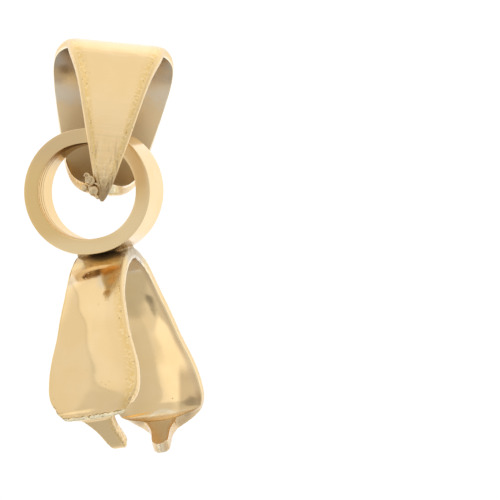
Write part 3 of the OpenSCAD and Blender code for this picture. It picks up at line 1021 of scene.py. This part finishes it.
def foot_and_prong(foot, normal, side, sizes, slope, skew, inside, bend_rows, bevel):
    """Rows [y, z, width, dome, thickness, normal's y, z, x, crest, crumple] round the bend and the prong."""
    start = math.atan2(normal[1], side * normal[0])
    finish = math.radians(-90 + slope)
    middle_r = sizes.sheet * (0.5 + inside)
    centre = np.array(foot[:2]) - np.array(normal) * middle_r
    rows = []
    for share, width, dome, crest in smooth_rows(bend_rows, 6)[1:]:
        a = start + (finish - start) * share
        n = np.array([side * math.cos(a), math.sin(a)])
        rows.append([*(centre + n * middle_r), width * sizes.leaf_width, dome * sizes.leaf_dome,
                     sizes.sheet, *n, 0, crest * CREST, crest * LIP])
    root = rows[-1]
    n = np.array(root[5:7])
    along = np.array([side * math.sin(finish), -math.cos(finish)])
    length = sizes.prong_length + PRONG_EXTRA
    for share, narrow, thick in smooth_rows(PRONG_ROWS, 6)[3:]:
        thick = 1 - (1 - thick) * bevel
        inward = n * sizes.sheet * (1 - thick) / 2
        y, z = np.array(root[:2]) + along * share * length - inward
        width = sizes.prong_root + (sizes.prong_width - sizes.prong_root) * narrow
        offset = share * length * math.tan(math.radians(skew))
        rows.append([y, z, width, 0, thick * sizes.sheet, *n, offset, 0, 0])
    return rows


class BAIL_OT_pinch(bpy.types.Operator):
    """Builds the pinch, its arch, two domed leaves and prongs in one sheet"""

    bl_idname = "bail.pinch"
    bl_label = "Pinch"

    def execute(self, context):
        sizes, looks = context.scene.bail_sizes, context.scene.bail_looks
        leaves = []
        for side, height in ((1, sizes.back_leaf), (-1, sizes.front_leaf)):
            full = [side * sizes.leaf_reach, -height, sizes.leaf_width, sizes.leaf_dome, sizes.leaf_dome]
            leaves.append([list(row * np.array(full)) for row in np.array(LEAF_ROWS)])
        back, front = leaves
        body = smooth_rows(back[-2:0:-1] + front, 8)
        normals = left_normals(body[:, :2])
        normals *= np.sign(normals[len(normals) // 2, 1])
        body[:, :2] += normals * (body[:, 3] - body[:, 4])[:, None]
        rows = [[*row[:3], row[4], sizes.sheet, *normal, 0, 0, 0] for row, normal in zip(body, normals)]
        back_skew = sizes.back_skew + BACK_EXTRA_SKEW
        front_slope = sizes.front_slope + FRONT_EXTRA_SLOPE
        back_end = foot_and_prong(body[0], normals[0], 1, sizes, sizes.back_slope, back_skew,
                                  BACK_BEND, BACK_BEND_ROWS, BACK_BEVEL)
        front_end = foot_and_prong(body[-1], normals[-1], -1, sizes, front_slope, FRONT_SKEW,
                                   FRONT_BEND, FRONT_BEND_ROWS, 1)
        rows = np.array(back_end[::-1] + rows + front_end)
        arch_dome = LEAF_ROWS[0][3] * sizes.leaf_dome
        arch_z = -sizes.ring_height / 2 - sizes.sheet / 2 - arch_dome + sizes.weld_sink
        zero = np.zeros(len(rows))
        place = np.stack([rows[:, 7], rows[:, 0] + sizes.arch_setback, rows[:, 1] + arch_z], 1)
        thinnest = np.minimum(rows[:, 4], rows[:, 2]) / 2
        near_arch = np.clip(1 - np.abs(rows[:, 0]) / ARCH_WILD_REACH, 0, 1)
        table = {
            "place": as_dropped(place, sizes),
            "across": as_dropped(np.stack([zero + 1, zero, zero], 1), sizes, True),
            "outward": as_dropped(np.stack([zero, rows[:, 5], rows[:, 6]], 1), sizes, True),
            "half_width": rows[:, 2] / 2,
            "half_thick": rows[:, 4] / 2,
            "edge": np.minimum(PINCH_EDGES[0], 0.5 * thinnest),
            "inner_edge": np.minimum(PINCH_EDGES[1], 0.3 * thinnest),
            "dome": rows[:, 3],
            "along": travelled(rows[:, :2]),
            "wild": 1 + EXTRA_WILD * near_arch,
            "crest": rows[:, 8],
            "crumple": rows[:, 9],
        }
        material = plated("pinch_gold", looks, PINCH_PLATING, True)
        section = sheet_section(face_steps=61, corner_steps=5)
        pinch = sweep("pinch_sheet", table, False, section, *PINCH_FILED, material)
        settle(pinch, "drop", "ring_and_pinch")
        return {"FINISHED"}


class BAIL_OT_studio(bpy.types.Operator):
    """Builds the pale floor, the soft light tent round the bail and the camera"""

    bl_idname = "bail.studio"
    bl_label = "Studio"

    def execute(self, context):
        scene = context.scene
        scene.view_settings.view_transform = "Standard"
        azimuth = math.radians(VIEW_AZIMUTH)
        right = Vector((math.cos(azimuth), math.sin(azimuth), 0))
        ahead = Vector((-math.sin(azimuth), math.cos(azimuth), 0))
        self.floor(scene)
        self.tent(scene, right, ahead)
        self.camera(scene, right, ahead)
        return {"FINISHED"}

    def floor(self, scene):
        """A pale round floor under the hanging bail."""
        shape = bmesh.new()
        bmesh.ops.create_circle(shape, cap_ends=True, segments=96, radius=FLOOR_REACH)
        bmesh.ops.translate(shape, verts=shape.verts, vec=(0, 0, CAD_BOX[0].z - FLOOR_DROP * MM))
        mesh = bpy.data.meshes.new("floor")
        shape.to_mesh(mesh)
        shape.free()
        paper = Finish(bpy.data.materials.new("paper"))
        mesh.materials.append(paper.shaded(Base_Color=(0.84, 0.84, 0.84, 1), Roughness=0.9))
        floor = bpy.data.objects.new("floor", mesh)
        scene.collection.objects.link(floor)
        floor.visible_glossy = False

    def tent(self, scene, right, ahead):
        """White to the eye, and round the bail a soft tent: bright behind and above, dimmer in front."""
        world = bpy.data.worlds.new("tent")
        scene.world = world
        world.use_nodes = True
        f = Finish(world)
        way = f.node("ShaderNodeTexCoord", output="Generated")
        back = f.dot(way, ahead)
        turn = f.math("ARCTAN2", f.dot(way, right), 0 - back) * DEGREES
        height = f.math("ARCSINE", f.dot(way, (0, 0, 1))) * DEGREES
        light = TENT_BASE + TENT_BEHIND * back.rising(0.2, 0.6) * height.between(-35, 60, 12)
        over_left = f.dot(way, right + TENT_OVERHEAD * Vector((0, 0, 1))) - TENT_OVERHEAD_END
        left_part = turn.between(-110, -14, 6) * height.rising(22, 30)
        overhead = TENT_OVERHEAD_LIGHT * height.rising(20, 36) + TENT_LEFT_LIGHT * left_part
        light = light + over_left.rising(-0.02, 0.02) * overhead
        light = light - TENT_GAP * over_left.between(-0.05, -0.015, 0.02) * height.rising(20, 30)
        foot, head = turn.stepped(*TENT_CARD_FOOT), turn.stepped(*TENT_CARD_HEAD)
        over_head = (height - head).rising(-2, 2)
        card_ends = turn.rising(*TENT_CARD_LEFT) * (1 - turn.rising(*TENT_CARD_RIGHT))
        light = light + TENT_CARD * (height - foot).rising(-2, 2) * (1 - over_head) * card_ends
        shade = TENT_CARD_SHADE * over_head * (1 - height.rising(-18, -10))
        light = light - shade * turn.between(*TENT_SHADE_ENDS)
        for panel in TENT_PANELS:
            light = light + panel[6] * turn.between(*panel[:3]) * height.between(*panel[3:6])
        room = f.node("ShaderNodeBackground", inputs={"Strength": light, "Color": (1, 1, 1, 1)})
        white = f.node("ShaderNodeBackground", inputs={"Strength": WHITE_BEHIND, "Color": (1, 1, 1, 1)})
        seen = f.node("ShaderNodeLightPath", output="Is Camera Ray")
        both = f.node("ShaderNodeMixShader", inputs={0: seen, 1: room, 2: white})
        f.node("ShaderNodeOutputWorld", inputs={"Surface": both}, output=None)

    def camera(self, scene, right, ahead):
        """A long lens at the photograph's angle."""
        data = bpy.data.cameras.new("camera")
        data.lens, data.sensor_width = LENS, 36
        data.clip_start, data.clip_end = 0.01, 50
        distance = VIEW_WIDTH * MM * data.lens / data.sensor_width
        eye = bpy.data.objects.new("camera", data)
        aim = RING_MIDDLE + right * RING_LEFT_OF_MIDDLE - Vector((0, 0, RING_ABOVE_MIDDLE))
        eye.location = aim * MM - ahead * distance
        eye.rotation_mode = "QUATERNION"
        eye.rotation_quaternion = ahead.to_track_quat("-Z", "Y")
        scene.collection.objects.link(eye)
        scene.camera = eye


class BAIL_PT_panel(bpy.types.Panel):
    """Lists the bail's sizes, colours and pieces"""

    bl_idname = "BAIL_PT_panel"
    bl_label = "Bail finding"
    bl_space_type = "VIEW_3D"
    bl_region_type = "UI"
    bl_category = "Bail"

    def draw(self, context):
        layout = self.layout
        for group in (context.scene.bail_sizes, context.scene.bail_looks):
            for key in group.__annotations__:
                layout.prop(group, key)
        for operator in OPERATORS:
            layout.operator(operator.bl_idname)


OPERATORS = (BAIL_OT_studio, BAIL_OT_loop, BAIL_OT_loop_weld, BAIL_OT_ring, BAIL_OT_ring_weld, BAIL_OT_pinch)
CLASSES = (BailSizes, BailLooks, *OPERATORS, BAIL_PT_panel)


def register():
    for cls in CLASSES:
        bpy.utils.register_class(cls)
    bpy.types.Scene.bail_sizes = bpy.props.PointerProperty(type=BailSizes)
    bpy.types.Scene.bail_looks = bpy.props.PointerProperty(type=BailLooks)


def unregister():
    del bpy.types.Scene.bail_looks
    del bpy.types.Scene.bail_sizes
    for cls in reversed(CLASSES):
        bpy.utils.unregister_class(cls)


def main():
    register()
    for operator in OPERATORS:
        group, name = operator.bl_idname.split(".")
        getattr(getattr(bpy.ops, group), name)()
    bpy.context.view_layer.update()


if __name__ == "__main__":
    main()
